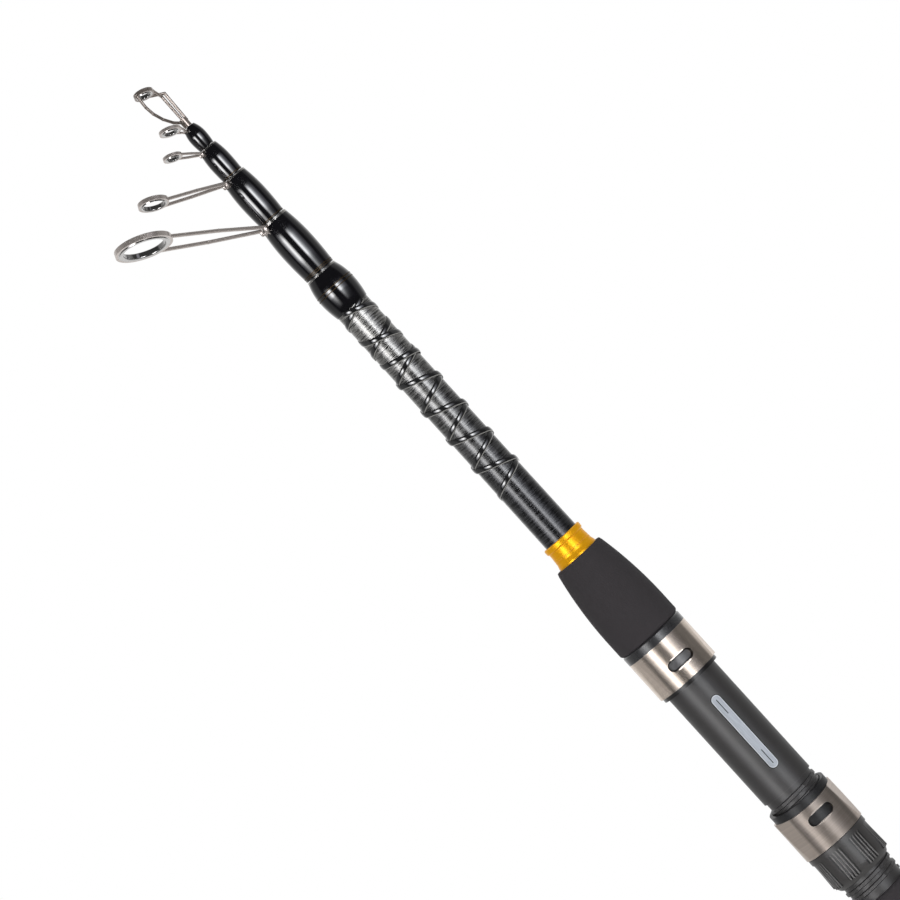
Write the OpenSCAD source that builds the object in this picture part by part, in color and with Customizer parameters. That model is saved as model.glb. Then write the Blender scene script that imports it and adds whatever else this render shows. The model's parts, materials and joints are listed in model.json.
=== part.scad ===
// Telescopic spinning rod, closed. Millimetres, rod axis on +Z, butt face at z = 0.
// The reel seat's plain front faces -Y and the reel foot sits on +Y.

/* [View] */
// Sub-part to draw, or all of them

/* [Handle] */
// Height of the butt cap with its pad
butt_cap_height = 12; // [8:0.5:25]
// Length of the rear grip
rear_grip_length = 103; // [60:1:260]
// Diameter of the rear grip
rear_grip_d = 25; // [23:0.5:32]
// Length of the foregrip
foregrip_length = 37.3; // [20:0.1:120]
// Diameter of the foregrip at its thick end
foregrip_d = 26; // [23:0.1:34]
// Diameter of the foregrip at its front face
foregrip_front_d = 19.7; // [17:0.1:24]
// Length of the winding check
check_length = 9; // [5:0.1:16]
// Length of bare blank that carries the cross wrap
wrapped_blank_length = 108.5; // [60:0.5:400]
// Length of the wrap at the handle's mouth
handle_wrap_length = 16.4; // [10:0.1:40]
// Diameters of that wrap at its front, middle and rear
handle_wrap_d = [12.6, 15.4, 13.1]; // [12:0.1:18]
// Diameter of the handle blank at the grips
handle_blank_d = 13.6; // [13.4:0.1:14.4]

/* [Reel seat] */
// Diameter of the barrel and of the thread's crests
barrel_d = 21; // [20:0.1:23]
// Length of the plain barrel between hood and thread
barrel_length = 50; // [40:0.5:80]
// Length of the screw thread
thread_length = 49; // [40:0.5:70]
// Pitch of the screw thread
thread_pitch = 3; // [2:0.1:4]
// Depth of the screw thread
thread_depth = 0.7; // [0.4:0.05:0.9]
// Outer diameter of both hoods
hood_d = 25.5; // [25:0.1:28]
// Length of the fixed hood
hood_length = 17.9; // [14:0.1:26]
// Length of the ring in front of the fixed hood
front_ring_length = 3.5; // [2:0.1:8]
// Length of the moving hood's shell along the foot side
moving_hood_length = 17; // [14:0.1:24]
// Length of the lock nut
nut_length = 15.4; // [10:0.1:24]
// Wall of the lock nut over the thread
nut_wall = 1.6; // [1:0.1:3]
// Share of the space from the blank to the barrel's face that the arbors fill
arbor_fill = 0.324; // [0.2:0.002:0.5]
// Space between the lock nut and the rear grip
nut_space = 9.1; // [5:0.1:20]
// Width and length of the window in each hood
window = [10.8, 4.1]; // [2:0.1:12]
// Width and length of the badge
badge = [4.3, 33.5]; // [2:0.1:40]

/* [Sections] */
// Lengths of the wraps on the fifth, fourth, third and second section
wrap_length = [24.7, 20.3, 13.2, 9.5]; // [6:0.1:40]
// Wrap diameters at the front
wrap_front_d = [11.4, 9.6, 7.4, 4.6]; // [3:0.1:14]
// Wrap diameters at the thickest place
wrap_mid_d = [13.3, 11.2, 8.75, 6.8]; // [4:0.05:16]
// Wrap diameters at the rear
wrap_rear_d = [12.1, 10.3, 8.2, 5.9]; // [4:0.1:14]
// Bore of the handle's mouth
handle_bore_d = 10.6; // [10:0.1:11]
// Wall of the four tubes at their mouths
tube_wall = [0.8, 0.75, 0.7, 0.5]; // [0.4:0.05:1]
// Length of blank that stays inside the next section when drawn out
overlap = 45; // [25:1:60]
// Slope of every blank, per side
taper = 0.0008; // [0.0004:0.0001:0.0012]
// Radial play of a section at the end of its travel
play = 0.12; // [0.08:0.01:0.2]

/* [Guides] */
// Turn of the guides round the rod
guide_turn = 206.5; // [170:0.5:270]
// Turn of the tip-top round the rod
tip_turn = 217.5; // [170:0.5:270]
// Outer diameters of the guide rings on the fifth to second section
ring_d = [20.8, 11, 7, 8]; // [5:0.1:30]
// Line bores of the same rings
ring_bore_d = [15.2, 7.8, 3.8, 4.4]; // [3:0.1:24]
// Distances of the ring centres from the rod axis
ring_out = [48.6, 33.4, 14.1, 7.4]; // [6:0.1:60]
// Distances of the ring centres ahead of the foot
ring_ahead = [22.1, 11.1, 6.1, 4.1]; // [2:0.1:40]
// Diameters of the guide wire
wire_d = [1.4, 1.25, 0.95, 0.85]; // [0.6:0.05:2]
// Half spread of the two wires where they leave the rod
leg_root = [1.7, 1.1, 0.8, 0.7]; // [0.5:0.1:3]
// Lean of the same rings from the rod axis
ring_lean = [64, 60, 65, 65]; // [50:1:90]
// Lean of the tip-top ring
tip_lean = 67; // [50:1:90]
// Length of the tip-top from its tube to the ring's front
tip_top_length = 19.5; // [12:0.1:30]
// Outer diameter of the tip-top ring
tip_ring_d = 7.4; // [6:0.1:12]
// Line bore of the tip-top ring
tip_bore_d = 4; // [3:0.1:8]

/* [Hidden] */
$fn = 64;

// Colours
c_gloss = [0.07, 0.07, 0.08];
c_tape = [0.12, 0.12, 0.13];
c_blank = [0.32, 0.31, 0.30];
c_foam = [0.21, 0.20, 0.21];
c_seat = [0.28, 0.27, 0.27];
c_metal = [0.76, 0.69, 0.60];
c_gold = [0.83, 0.62, 0.22];
c_wire = [0.55, 0.50, 0.46];
c_dark = [0.10, 0.10, 0.11];
c_badge = [0.72, 0.72, 0.74];

// Stations along the axis
z_grip = butt_cap_height;
z_thread = z_grip + rear_grip_length;
z_barrel = z_thread + thread_length;
z_hood = z_barrel + barrel_length;
z_ring = z_hood + hood_length;
z_fore = z_ring + front_ring_length;
z_check = z_fore + foregrip_length;
z_blank = z_check + check_length;
z_hwrap = z_blank + wrapped_blank_length;
z_mouth6 = z_hwrap + handle_wrap_length;
seat_gap = 0.25;
z_rear = [for (i = 0, z = z_mouth6 + seat_gap; i < 4;
    z = z + wrap_length[i] + seat_gap, i = i + 1) z];
z_mouth = [for (i = [0:3]) z_rear[i] + wrap_length[i]];
z_tip = z_mouth[3] + seat_gap;
z_nut = z_thread + nut_space;
z_mhood = z_nut + nut_length;

// Blanks: radius outside at a height, and bore at the mouth
section_butt = 17;
z_butt = butt_cap_height / 2;
bush_top = 14;
r_bore6 = handle_bore_d / 2;
function butt_r(mouth_r) = mouth_r + taper * overlap - play;
function tip_r(b, i) = b - taper * (z_mouth[i] - section_butt);
b5 = butt_r(r_bore6);
m5 = tip_r(b5, 0) - tube_wall[0];
b4 = butt_r(m5);
m4 = tip_r(b4, 1) - tube_wall[1];
b3 = butt_r(m4);
m3 = tip_r(b3, 2) - tube_wall[2];
b2 = butt_r(m3);
m2 = tip_r(b2, 3) - tube_wall[3];
b1 = butt_r(m2);
tube_b = [b5, b4, b3, b2];
tube_m = [m5, m4, m3, m2];
function tube_r(i, z) = tube_b[i] - taper * (z - section_butt);
function bore_r(i, z) = tube_m[i] + taper * (z_mouth[i] - z);
function handle_r(z) = z < z_blank ? handle_blank_d / 2
    : z < z_hwrap ? lerp(handle_blank_d / 2, handle_wrap_d[2] / 2 - 0.05,
        (z - z_blank) / wrapped_blank_length)
    : lerp(handle_wrap_d[2] / 2 - 0.05, r_bore6 + 0.75,
        (z - z_hwrap) / handle_wrap_length);
function lerp(a, b, t) = a + (b - a) * t;
function step(t) = t <= 0 ? 0 : t >= 1 ? 1 : t * t * (3 - 2 * t);

// Small helpers
module ring(r0, r1, z0, z1) {
    rotate_extrude() translate([r0, z0]) square([r1 - r0, z1 - z0]);
}
module wire(p, q, d) {
    v = q - p;
    translate(p)
        rotate([0, acos(v[2] / norm(v)), atan2(v[1], v[0])])
            rotate([0, 0, 53]) cylinder(d = d, h = norm(v), $fn = 24);
}
module wires(pts, d) {
    for (i = [0:len(pts) - 2]) wire(pts[i], pts[i + 1], d);
    for (i = [0:len(pts) - 1]) translate(pts[i]) rotate([61, 37, 0]) sphere(d = d * 1.08, $fn = 24);
}
// Arc flank that falls by d over a length l from a crest at radius r
module flank(r, d, l) {
    q = (l * l + d * d) / (2 * d);
    intersection() {
        translate([r - q, 0]) circle(r = q, $fn = 240);
        square([r, l]);
    }
}
// Bulged wrap from z0 to z1, thickest at a share of its length from the front
module bulge(z0, z1, rf, rm, rr, share) {
    zm = z1 - (z1 - z0) * share;
    rotate_extrude($fn = 64) {
        translate([0, zm]) flank(rm, rm - rf, z1 - zm);
        translate([0, zm]) mirror([0, 1]) flank(rm, rm - rr, zm - z0);
    }
}
function bulge_r(z0, z1, rf, rm, rr, share, z) =
    let (zm = z1 - (z1 - z0) * share,
        l = z > zm ? z1 - zm : zm - z0,
        d = z > zm ? rm - rf : rm - rr,
        q = (l * l + d * d) / (2 * d))
    rm - q + sqrt(q * q - (z - zm) * (z - zm));

// Handle blank
module handle_blank() color(c_blank)
    difference() {
        rotate_extrude() polygon([
            [0, z_butt], [handle_blank_d / 2, z_butt],
            [handle_blank_d / 2, z_blank],
            [handle_wrap_d[2] / 2 - 0.05, z_hwrap],
            [r_bore6 + 0.75, z_mouth6], [0, z_mouth6]
        ]);
        translate([0, 0, z_butt - 1])
            cylinder(r1 = r_bore6 + taper * (z_mouth6 - z_butt + 1),
                r2 = r_bore6 - taper, h = z_mouth6 - z_butt + 2);
    }

// Handle wrap, its mouth ring and its two gold bands
mouth_ring_length = [0.95, 0.7, 0.55];
handle_ring_length = 0.65;
hw_z1 = z_mouth6 - handle_ring_length;
hw = [z_hwrap, hw_z1, handle_wrap_d[0] / 2, handle_wrap_d[1] / 2, handle_wrap_d[2] / 2 + 0.2, 0.48];
band_w = 0.32;
handle_bands = [6.8, 8.1];
module handle_wrap() color(c_gloss)
    difference() {
        bulge(hw[0], hw[1], hw[2], hw[3], hw[4], hw[5]);
        rotate_extrude() polygon([
            [0, z_hwrap - 1], [handle_r(z_hwrap) + 0.02, z_hwrap - 1], [handle_r(z_hwrap) + 0.02, z_hwrap],
            [handle_r(z_mouth6) + 0.02, z_mouth6], [0, z_mouth6]
        ]);
        for (d = handle_bands) band_cut(z_mouth6 - d, handle_band_r(d));
    }
function handle_band_r(d) = bulge_r(hw[0], hw[1], hw[2], hw[3], hw[4], hw[5], z_mouth6 - d) + 0.03;
module band_cut(z, r)
    translate([0, 0, z - 0.01]) difference() {
        cylinder(r = r + 1, h = band_w + 0.02);
        translate([0, 0, -1]) cylinder(r = r - 0.25, h = band_w + 2);
    }
module band(z, r) ring(r - 0.23, r, z, z + band_w);
module handle_mouth_ring() color(c_metal)
    rotate_extrude() polygon([
        [handle_r(z_mouth6 - handle_ring_length) + 0.02, hw_z1 + 0.02],
        [hw[2] - 0.02, hw_z1 + 0.02], [hw[2] - 0.1, z_mouth6],
        [handle_r(z_mouth6 - handle_ring_length) + 0.02, z_mouth6]
    ]);
module handle_trim() color(c_gold)
    for (d = handle_bands) band(z_mouth6 - d, handle_band_r(d));

// Cross wrap: two flat tapes wound opposite ways, the left one over the right one
tape_w = 2;
tape_t = 0.3;
tape_pitch = 13.2;
tape_turns = 6.3;
tape_slip = 6.5;
tape_face = 260.5;
z_tape = z_hwrap - 1.6;
rings_per_turn = 24;
function tape_z(n, left) = z_tape - tape_pitch * n + (left ? tape_slip * step((n - 1) / 2) : 0);
function wrap_gap(a) = abs(a - 360 * round(a / 360));
// Turns run by the right tape at a height, found directly from its even pitch
function right_n(z) = (z_tape - z) / tape_pitch;
function tape_lift(n, left) = left
    ? let (z = tape_z(n, true), d = wrap_gap(360 * n + 360 * right_n(z)))
        (tape_t + 0.1) * step((100 - d) / 60)
    : 0;
function tape_point(n, left, u, v) =
    let (z = tape_z(n, left),
        a = tape_face + (left ? 1 : -1) * 360 * n,
        r = handle_r(z) + 0.09 + tape_lift(n, left),
        s = tape_pitch / (2 * PI * r),
        k = 1 / sqrt(1 + s * s),
        du = (left ? 1 : -1) * u * s * k)
    [(r + v) * cos(a + du / r * 180 / PI), (r + v) * sin(a + du / r * 180 / PI), z + u * k];
tape_section = [[-0.5, 0], [-0.42, 0.8], [0, 1], [0.42, 0.8], [0.5, 0], [0, 0]];
function tape_points(left) = [for (i = [0:rings_per_turn * tape_turns], c = tape_section)
    tape_point(i / rings_per_turn, left, c[0] * tape_w, c[1] * tape_t)];
// Least gap between neighbouring turns of one tape, measured on its centre points
function tape_gap(left) = min([for (i = [0:rings_per_turn * (tape_turns - 1)], j = [i + 18:min(i + 30, rings_per_turn * tape_turns)])
    norm(tape_point(i / rings_per_turn, left, 0, 0) - tape_point(j / rings_per_turn, left, 0, 0)) - tape_w]);
echo(cross_wrap_right_least_gap = tape_gap(false), cross_wrap_left_least_gap = tape_gap(true));
module tape(left) {
    n = floor(rings_per_turn * tape_turns);
    flip = left ? 1 : 0;
    polyhedron(tape_points(left), [
        for (i = [0:n - 1], k = [0:5], t = [0, 1])
            let (a = i * 6 + k, b = i * 6 + (k + 1) % 6, c = a + 6, d = b + 6,
                f = t == 0 ? [a, b, c] : [b, d, c])
            flip == 1 ? [f[2], f[1], f[0]] : f,
        for (k = [1:4]) let (f = [0, k + 1, k]) flip == 1 ? [f[2], f[1], f[0]] : f,
        for (k = [1:4]) let (o = n * 6, f = [o, o + k, o + k + 1]) flip == 1 ? [f[2], f[1], f[0]] : f
    ]);
}
module cross_wrap_right() color(c_tape) tape(false);
module cross_wrap_left() color(c_tape) tape(true);

// Winding check, foregrip and front ring
module winding_check() color(c_gold)
    difference() {
        rotate_extrude() polygon([
            [0, z_check], [8.2, z_check], [8.2, z_check + 0.6],
            [7.75, z_check + 2.2], [7.75, z_check + 3.1], [7.6, z_check + 3.2],
            [7.6, z_check + 3.4], [7.7, z_check + 3.5], [7.5, z_check + 5.4],
            [7.5, z_blank - 2.4], [7.85, z_blank - 2.1], [8, z_blank - 1.8],
            [8, z_blank - 0.3], [7.7, z_blank], [0, z_blank]
        ]);
        translate([0, 0, z_check - 1])
            cylinder(r = handle_blank_d / 2 + 0.02, h = check_length + 2);
    }
// Convex foam grip: an arc from the front edge to the thick end
fore_r = foregrip_d / 2;
fore_crest = 7;
module foregrip() color(c_foam)
    difference() {
        rotate_extrude() {
            translate([0, z_fore + fore_crest])
                flank(fore_r, fore_r - foregrip_front_d / 2, foregrip_length - fore_crest);
            translate([0, z_fore + 1.2]) square([fore_r, fore_crest - 1.2]);
            translate([0, z_fore]) square([fore_r - 1.2, 1.3]);
            translate([fore_r - 1.2, z_fore + 1.2]) circle(r = 1.2, $fn = 32);
        }
        translate([0, 0, z_fore - 1])
            cylinder(r = handle_blank_d / 2 + 0.02, h = foregrip_length + 2);
    }
module front_ring() color(c_dark)
    rotate_extrude() polygon([
        [handle_blank_d / 2 + 0.02, z_ring], [hood_d / 2, z_ring],
        [hood_d / 2, z_fore - 0.5], [hood_d / 2 - 0.4, z_fore],
        [handle_blank_d / 2 + 0.02, z_fore]
    ]);

// Hoods: shell with flattened cheeks and a bump over the foot pocket.
// Drawn with the mouth at z = 0 and the closed end at z = l, so each hood is placed by its mouth.
hood_r = hood_d / 2;
liner_r = barrel_d / 2 + 0.3;
shell_r = liner_r + 0.35;
pocket_r = 8.8;
pocket_y = barrel_d / 2 - 3.1;
pocket_lean = 10;
cheek_turn = 66;
cheek_cut = hood_r * (1 - cos(24));
module pocket(r) translate([0, pocket_y, -0.01]) rotate([pocket_lean, 0, 0])
    translate([0, 0, -8]) cylinder(r = r, h = 60);
module hood_outline(l, slant)
    intersection() {
        union() {
            cylinder(r = hood_r, h = l);
            difference() {
                pocket(pocket_r + 1.3);
                translate([-20, -40, -1]) cube([40, 40, 80]);
            }
        }
        translate([0, 0, 0]) rotate([-slant, 0, 0]) translate([-30, -30, 0]) cube([60, 60, 80]);
        translate([-30, -30, -8]) cube([60, 60, l + 8]);
    }
module hood_cheeks(l, cut)
    for (s = [-1, 1])
        rotate([0, 0, s * cheek_turn - 90])
            translate([hood_r - cut, 0, 0]) rotate([0, atan(cut / l), 0])
                translate([0, -15, -10]) cube([8, 30, l + 12]);
module hood_window(l, at)
    translate([0, -hood_r, at]) rotate([90, 0, 0]) {
        translate([0, 0, -3]) linear_extrude(6) window_shape(0);
        translate([0, 0, -0.35]) linear_extrude(3) window_shape(0.35);
    }
module window_shape(e) {
    h = window[1] / 2 + e;
    w = window[0] / 2 - window[1] / 2;
    square([2 * w, 2 * h], center = true);
    for (s = [-1, 1]) translate([s * w, 0]) circle(r = h, $fn = 32);
}
module hood_shell(l, slant, cut, at)
    difference() {
        hood_outline(l, slant);
        translate([0, 0, -10]) cylinder(r = shell_r, h = l + 20);
        difference() {
            pocket(pocket_r);
            translate([-20, -40, l - 2]) cube([40, 80, 80]);
        }
        hood_cheeks(l, cut);
        hood_window(l, at);
    }
module hood_sleeve(l, slant, lip)
    difference() {
        intersection() {
            union() {
                translate([0, 0, -lip - 4]) cylinder(r = shell_r - 0.02, h = l + lip + 4);
                intersection() {
                    translate([0, 0, -lip - 4]) cylinder(r = hood_r - 0.75, h = lip + 8);
                    rotate([-slant, 0, 0]) translate([-30, -30, -lip]) cube([60, 60, lip - 0.03]);
                }
            }
            rotate([-slant, 0, 0]) translate([-30, -30, -lip]) cube([60, 60, 80]);
        }
        translate([0, 0, -10]) cylinder(r = liner_r, h = l + 20);
        difference() {
            pocket(pocket_r);
            translate([-20, -40, l - 2]) cube([40, 80, 80]);
            translate([-20, -60, -20]) cube([40, 60, 80]);
        }
    }
// The fixed hood opens towards the butt
module fixed_hood() color(c_metal)
    translate([0, 0, z_hood + 1.5]) hood_shell(hood_length - 1.5, 0, 0.25, 7);
module fixed_hood_liner() color(c_dark)
    translate([0, 0, z_hood + 1.5]) hood_sleeve(hood_length - 1.5, 0, 1.5);

// Reel seat body with its thread
seat_bore_r = lerp(handle_blank_d / 2, barrel_d / 2, arbor_fill);
thread_root = barrel_d / 2 - thread_depth;
badge_cut = 0.6;
function helix_points(r0, r1, z0, turns, wr, wc) = [
    for (i = [0:24 * turns])
        let (a = 15 * i, z = z0 + thread_pitch * i / 24)
        for (c = [[r0, -wr], [r1, -wc], [r1, wc], [r0, wr]])
            [c[0] * cos(a), c[0] * sin(a), z + c[1]]
];
module helix(r0, r1, z0, turns, wr, wc) {
    n = floor(24 * turns);
    flip = r1 < r0;
    polyhedron(helix_points(r0, r1, z0, turns, wr, wc), [
        for (i = [0:n - 1], k = [0:3], t = [0, 1])
            let (a = i * 4 + k, b = i * 4 + (k + 1) % 4, c = a + 4, d = b + 4,
                f = t == 0 ? [a, b, c] : [b, d, c])
            flip ? [f[2], f[1], f[0]] : f,
        for (k = [1:2]) let (f = [0, k + 1, k]) flip ? [f[2], f[1], f[0]] : f,
        for (k = [1:2]) let (o = n * 4, f = [o, o + k, o + k + 1]) flip ? [f[2], f[1], f[0]] : f
    ]);
}
thread_turns = floor((thread_length - thread_pitch) / thread_pitch);
module badge_shape(e) {
    r = badge[0] / 2 + e;
    l = badge[1] / 2 - badge[0] / 2;
    square([2 * r, 2 * l], center = true);
    for (s = [-1, 1]) translate([0, s * l]) circle(r = r, $fn = 32);
}
module badge_at(e, y0, y1)
    translate([0, 0, z_barrel + barrel_length * 0.5])
        rotate([90, 0, 0]) translate([0, 0, y0]) linear_extrude(y1 - y0) badge_shape(e);
module reel_seat_body() color(c_seat)
    difference() {
        union() {
            translate([0, 0, z_thread]) cylinder(r = thread_root, h = z_ring - z_thread);
            translate([0, 0, z_barrel]) cylinder(r = barrel_d / 2, h = z_ring - z_barrel);
            helix(thread_root - 0.4, barrel_d / 2, z_thread + thread_pitch * 0.6, thread_turns, 1.15, 0.55);
        }
        translate([0, 0, z_thread - 1]) cylinder(r = seat_bore_r, h = z_ring - z_thread + 2);
        badge_at(0.02, barrel_d / 2 - badge_cut, barrel_d);
    }
module seat_badge() color(c_badge)
    intersection() {
        badge_at(0, barrel_d / 2 - badge_cut + 0.02, barrel_d);
        translate([0, 0, z_barrel]) cylinder(r = barrel_d / 2 + 0.06, h = barrel_length, $fn = 256);
    }
module seat_arbors() color(c_foam)
    for (z = [z_thread + 6, z_barrel - 6, z_hood - 4])
        ring(handle_blank_d / 2 + 0.02, seat_bore_r - 0.02, z, z + 14);

// Moving hood: the mouth faces the tip, so the shell is turned over
hood_slant = 6;
hood_lip = 2.8;
module place_moving() translate([0, 0, z_mhood + moving_hood_length]) mirror([0, 0, 1]) children();
module moving_hood() color(c_metal)
    place_moving() hood_shell(moving_hood_length, hood_slant, cheek_cut, 6.4);
module moving_hood_liner() color(c_dark)
    place_moving() hood_sleeve(moving_hood_length, hood_slant, hood_lip);

// Lock nut with ribbed grips and a thread inside
nut_r = liner_r + nut_wall;
rib_groups = 8;
ribs = 4;
nut_top = z_mhood - seat_gap;
nut_thread_base = z_thread + thread_pitch * 1.1;
nut_thread_z = nut_thread_base + thread_pitch * ceil((z_nut + 1.6 - nut_thread_base) / thread_pitch);
nut_thread_turns = floor((nut_length - 4.2) / thread_pitch);
module lock_nut() color(c_seat) union() {
    difference() {
        union() {
            difference() {
                rotate_extrude() {
                    translate([0, z_nut + 4]) square([nut_r - 0.4, nut_top - z_nut - 4]);
                    translate([0, z_nut + 4]) mirror([0, 1]) flank(nut_r - 0.4, 1.1, 4);
                    translate([0, nut_top - 2.2]) square([nut_r, 2.2]);
                }
                translate([0, 0, z_nut - 1]) cylinder(r = liner_r, h = nut_length + 2);
            }
            for (g = [0:rib_groups - 1], k = [0:ribs - 1])
                rotate([0, 0, 360 / rib_groups * (g + 0.4) + (k - (ribs - 1) / 2) * 6.2])
                    translate([nut_r - 0.5, 0, z_nut + 1.6]) rotate([0, -2, 0])
                        cylinder(r = 0.5, h = nut_length - 3.6, $fn = 16);
        }
        translate([0, 0, z_nut - 1]) cylinder(r = liner_r, h = nut_length + 2);
    }
    helix(liner_r + 0.25, thread_root + 0.3, nut_thread_z, nut_thread_turns, 0.78, 0.42);
}

// Rear grip and butt
module rear_grip() color(c_foam)
    difference() {
        rotate_extrude() {
            translate([0, z_grip]) square([rear_grip_d / 2 - 1.5, rear_grip_length]);
            translate([0, z_grip]) square([rear_grip_d / 2, rear_grip_length - 1.5]);
            translate([rear_grip_d / 2 - 1.5, z_thread - 1.5]) circle(r = 1.5, $fn = 32);
        }
        translate([0, 0, z_grip - 1])
            cylinder(r = handle_blank_d / 2 + 0.02, h = rear_grip_length + 2);
    }
bush_r = r_bore6 + taper * (z_mouth6 - bush_top) - 0.02;
plug_r = bush_r - 1;
module butt_bush() color(c_metal)
    ring(plug_r + 0.3, bush_r, z_butt, bush_top);
pad_h = 3;
cap_r = rear_grip_d / 2 - 0.5;
cap_bore = handle_blank_d / 2 + 0.4;
module butt_cap() color(c_gold)
    rotate_extrude() polygon([
        [0, pad_h + 4.2], [2.05, pad_h + 4.2], [2.05, pad_h], [cap_r - 0.6, pad_h],
        [cap_r, pad_h + 0.6], [cap_r, z_grip - 1.5], [cap_r - 0.4, z_grip - 1.1],
        [cap_bore, z_grip - 1.1], [cap_bore, z_butt - 0.4], [plug_r, z_butt - 0.4],
        [plug_r, bush_top], [0, bush_top]
    ]);
module butt_pad() color(c_dark) {
    rotate_extrude() {
        square([rear_grip_d / 2 - 2.5, pad_h]);
        translate([0, 1.5]) square([rear_grip_d / 2 - 1.1, pad_h - 1.52]);
        translate([rear_grip_d / 2 - 2.6, 1.5]) circle(r = 1.5, $fn = 32);
    }
    cylinder(r = 2, h = pad_h + 2.8);
}
module cap_gasket() color(c_dark)
    ring(handle_blank_d / 2 + 0.5, rear_grip_d / 2 - 1.2, z_grip - 1.08, z_grip - 0.1);

// Telescopic sections: blank, wrap with a notch for the guide's foot, mouth ring and trim
function ring_len(i) = i < 3 ? mouth_ring_length[i] : 0;
function wz(i) = [z_rear[i], z_mouth[i] - ring_len(i), wrap_front_d[i] / 2, wrap_mid_d[i] / 2, wrap_rear_d[i] / 2, 0.5];
function trim_z(i) = i == 0 ? [0.45, 1.15] : [0.3];
function trim_r(i, d) = let (w = wz(i)) bulge_r(w[0], w[1], w[2], w[3], w[4], w[5], w[0] + d) + 0.03;
module section_blank(i) color(c_gloss)
    difference() {
        translate([0, 0, section_butt])
            cylinder(r1 = tube_r(i, section_butt), r2 = tube_r(i, z_mouth[i]), h = z_mouth[i] - section_butt);
        translate([0, 0, section_butt - 1])
            cylinder(r1 = bore_r(i, section_butt - 1), r2 = bore_r(i, z_mouth[i] + 1),
                h = z_mouth[i] - section_butt + 2);
    }
module section_wrap(i) color(c_gloss) {
    w = wz(i);
    difference() {
        bulge(w[0], w[1], w[2], w[3], w[4], w[5]);
        translate([0, 0, w[0] - 1])
            cylinder(r1 = tube_r(i, w[0] - 1) + 0.02, r2 = tube_r(i, w[1] + 1) + 0.02, h = w[1] - w[0] + 2);
        if (i < 3) for (d = trim_z(i)) band_cut(w[0] + d, trim_r(i, d));
        rotate([0, 0, guide_turn]) foot_space(i);
    }
}
module section_ring(i) color(c_metal)
    difference() {
        w = wz(i);
        rotate_extrude() polygon([
            [0, w[1] + 0.02], [w[2] - 0.02, w[1] + 0.02], [w[2] - 0.12, z_mouth[i]], [0, z_mouth[i]]
        ]);
        translate([0, 0, w[1] - 1])
            cylinder(r1 = tube_r(i, w[1] - 1) + 0.02, r2 = tube_r(i, z_mouth[i] + 1) + 0.02, h = z_mouth[i] - w[1] + 2);
    }
module section_trim(i) color(c_gold)
    for (d = trim_z(i)) band(z_rear[i] + d, trim_r(i, d));

// Guides: two wires rise from a foot under the wrap to the ring holder
leg_flare = [0, 0.1, 0, 0.12];
leg_bow = [0.8, 0.5, 0.2, 0.1];
foot_len = [9, 7, 5, 3.5];
foot_t = [1.0, 0.9, 0.8, 0.7];
foot_w = [2.5, 2.1, 1.7, 1.5];
function foot_z(i) = z_mouth[i] - ring_len(i) - 0.35;
function leg_z(i) = foot_z(i) - wire_d[i] / 2;
function leg_out(i) = sqrt(pow(wrap_front_d[i] / 2 + wire_d[i] * 0.54 + 0.12, 2) - pow(leg_root[i], 2));
function foot_r(i) = tube_r(i, foot_z(i) - foot_len[i]) + 0.06;
function ring_c(i) = [ring_out[i], 0, z_mouth[i] - 1.25 + ring_ahead[i]];
holder = [0.9, 0.65, 0.6, 0.6];
holder_h = [1.8, 1.5, 1.1, 1.1];
function holder_r(i) = (ring_d[i] - holder[i]) / 2;
function on_ring(c, r, a, lean) = c + r * [sin(lean) * cos(a), sin(a), cos(lean) * cos(a)];
function leg_mid(i, s, e) = [(leg_out(i) + e[0]) / 2, (s * leg_root[i] + e[1]) / 2 + s * leg_bow[i], (z_mouth[i] - 0.3 + e[2]) / 2];
module foot_space(i) {
    translate([foot_r(i) - 1, -foot_w[i] / 2 - 0.02, foot_z(i) - foot_len[i] - 0.02])
        cube([foot_t[i] + 1.02, foot_w[i] + 0.04, foot_len[i] + 0.04]);
    leg_w = leg_root[i] + wire_d[i] * 0.54 + 0.2;
    translate([foot_r(i) - 1, -leg_w, leg_z(i) - wire_d[i] * 0.54 - 0.1])
        cube([20, 2 * leg_w, 20]);
}
module place_ring(c, lean) translate(c) rotate([0, lean - 90, 0]) children();
module guide_frame(i) color(c_wire)
    rotate([0, 0, guide_turn]) {
        d = wire_d[i];
        c = ring_c(i);
        spread = 36;
        difference() {
            union() {
                translate([foot_r(i), -foot_w[i] / 2, foot_z(i) - foot_len[i]])
                    cube([foot_t[i], foot_w[i], foot_len[i]]);
                for (s = [-1, 1])
                    wires([[foot_r(i) + d * 0.54 + 0.03, s * (foot_w[i] - d) / 2, leg_z(i)],
                        [leg_out(i), s * leg_root[i], leg_z(i) + 0.25],
                        [leg_out(i) + leg_flare[i], s * (leg_root[i] + leg_flare[i] / 2), z_mouth[i] - 0.3],
                        leg_mid(i, s, on_ring(c, holder_r(i), 180 - s * spread, ring_lean[i])),
                        on_ring(c, holder_r(i), 180 - s * spread, ring_lean[i])], d);
                place_ring(c, ring_lean[i]) rotate_extrude()
                    translate([ring_d[i] / 2 - holder[i], -holder_h[i] / 2]) square([holder[i], holder_h[i]]);
            }
            place_ring(c, ring_lean[i]) translate([0, 0, -holder_h[i] / 2 - 0.01])
                cylinder(r = ring_d[i] / 2 - holder[i], h = holder_h[i] + 0.02);
        }
    }
module guide_ring(i) color(c_dark)
    rotate([0, 0, guide_turn]) place_ring(ring_c(i), ring_lean[i])
        insert(ring_bore_d[i] / 2, ring_d[i] / 2 - holder[i] - 0.02, holder_h[i] + 0.5, holder_h[i]);
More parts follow.
